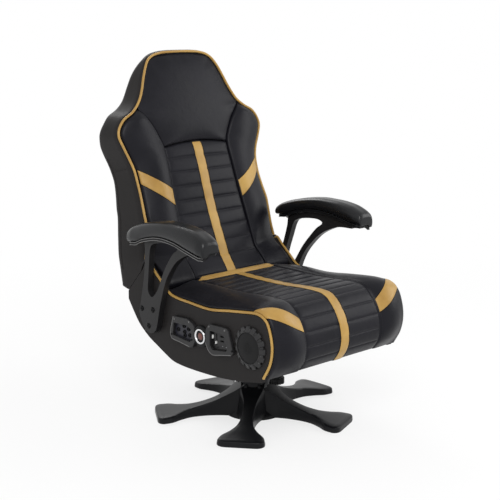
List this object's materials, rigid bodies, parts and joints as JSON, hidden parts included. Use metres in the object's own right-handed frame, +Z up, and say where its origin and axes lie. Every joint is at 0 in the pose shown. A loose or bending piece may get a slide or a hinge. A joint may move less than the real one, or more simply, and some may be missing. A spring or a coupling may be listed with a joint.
{
  "type": "gaming chair",
  "caption": "Upholstered pedestal gaming chair with a swivel and tilt base, a folding backrest, armrests, side speakers and a sound control panel.",
  "frame": {"origin": "on the floor, below the middle of the chair's bounding box", "axes": "+Z up, the sitter faces -Y, the sound control panel is on the -X side"},
  "size_m": [0.684, 0.8078, 1.091],
  "materials": {
    "black_leather": "soft sheen",
    "side_leather": "matte",
    "gold_leather": "satin",
    "satin_plastic": "satin",
    "black_plastic": "satin",
    "soft_armpad": "glossy",
    "white_plastic": "satin",
    "red_plastic": "satin",
    "chrome": "polished",
    "steel": "zinc plated",
    "black_steel": "satin black",
    "board": "raw plywood",
    "rubber": "matte"
  },
  "bodies": {
    "pedestal": {"pedestal_base": "satin_plastic", "swivel_bushing": "black_plastic"},
    "swivel_head": {"swivel_post": "steel", "retaining_clip": "steel", "tilt_bracket": "black_steel", "tilt_axle": "steel", "tilt_stop_pad": "rubber", "tilt_spring": "steel"},
    "backrest": {"fold_hinge_right": "steel", "fold_hinge_left": "steel", "back_rear_shell": "side_leather", "back_board": "board", "back_middle_cushion": "black_leather", "side_bolster_right": "black_leather", "side_bolster_left": "black_leather", "head_cushion": "black_leather", "back_piping": "gold_leather", "subwoofer_box": "black_plastic"},
    "tension_knob": {"tension_knob": "black_plastic"},
    "power_button": {"power_button": "red_plastic"},
    "volume_slider": {"volume_slider": "white_plastic"},
    "bass_slider": {"bass_slider": "white_plastic"},
    "mode_switch_upper": {"mode_switch_upper": "black_plastic"},
    "mode_switch_lower": {"mode_switch_lower": "black_plastic"},
    "seat_body": {"seat_mount_plate": "black_steel", "tension_rod": "steel", "seat_side_panel_right": "side_leather", "seat_side_panel_left": "side_leather", "seat_cushion": "black_leather", "seat_board": "board", "underside_pan": "black_plastic", "seat_crossbar_front": "black_steel", "seat_crossbar_rear": "black_steel", "amplifier_box": "black_plastic", "seat_piping_right": "gold_leather", "seat_piping_left": "gold_leather", "speaker_bezel_right": "black_plastic", "speaker_bezel_left": "black_plastic", "speaker_grille_right": "black_plastic", "speaker_grille_left": "black_plastic", "speaker_driver_right": "black_steel", "speaker_driver_left": "black_steel", "control_housing": "black_plastic", "button_ring": "chrome", "jack_plate": "black_plastic", "slider_plate": "black_plastic", "arm_support_right": "satin_plastic", "arm_support_left": "satin_plastic", "arm_pad_base_right": "satin_plastic", "arm_pad_base_left": "satin_plastic", "arm_pad_right": "soft_armpad", "arm_pad_left": "soft_armpad", "arm_bolt_right_1": "black_steel", "arm_bolt_right_2": "black_steel", "arm_bolt_right_3": "black_steel", "arm_bolt_left_1": "black_steel", "arm_bolt_left_2": "black_steel", "arm_bolt_left_3": "black_steel", "fold_pin_right": "steel", "fold_pin_left": "steel"}
  },
  "joints": [
    {"name": "swivel", "type": "hinge", "parent": "pedestal", "child": "swivel_head", "pos_m": [0, -0.01962, 0.113], "axis": [0, 0, 1], "continuous": true},
    {"name": "seat_tilt", "type": "hinge", "parent": "swivel_head", "child": "seat_body", "pos_m": [0, -0.01962, 0.18], "axis": [-1, 0, 0], "range_deg": [0, 15], "stiffness_Nm_per_rad": 300, "springref_deg": -8.59, "deforming": ["tilt_spring"]},
    {"name": "backrest_fold", "type": "hinge", "parent": "seat_body", "child": "backrest", "pos_m": [0, 0.11538, 0.425], "axis": [1, 0, 0], "range_deg": [0, 80]},
    {"name": "tension_knob_turn", "type": "hinge", "parent": "seat_body", "child": "tension_knob", "pos_m": [0, -0.11962, 0.126], "axis": [0, 0, 1], "continuous": true},
    {"name": "power_button_slide", "type": "slide", "parent": "seat_body", "child": "power_button", "axis": [1, 0, 0], "range_m": [0, 0.0025], "stiffness_N_per_m": 800, "springref_m": -0.001},
    {"name": "volume_slider_slide", "type": "slide", "parent": "seat_body", "child": "volume_slider", "axis": [0, 0, 1], "range_m": [-0.018, 0.006]},
    {"name": "bass_slider_slide", "type": "slide", "parent": "seat_body", "child": "bass_slider", "axis": [0, 0, 1], "range_m": [-0.004, 0.02]},
    {"name": "mode_switch_upper_slide", "type": "slide", "parent": "seat_body", "child": "mode_switch_upper", "axis": [0, -1, 0], "range_m": [0, 0.006]},
    {"name": "mode_switch_lower_slide", "type": "slide", "parent": "seat_body", "child": "mode_switch_lower", "axis": [0, -1, 0], "range_m": [0, 0.006]}
  ]
}
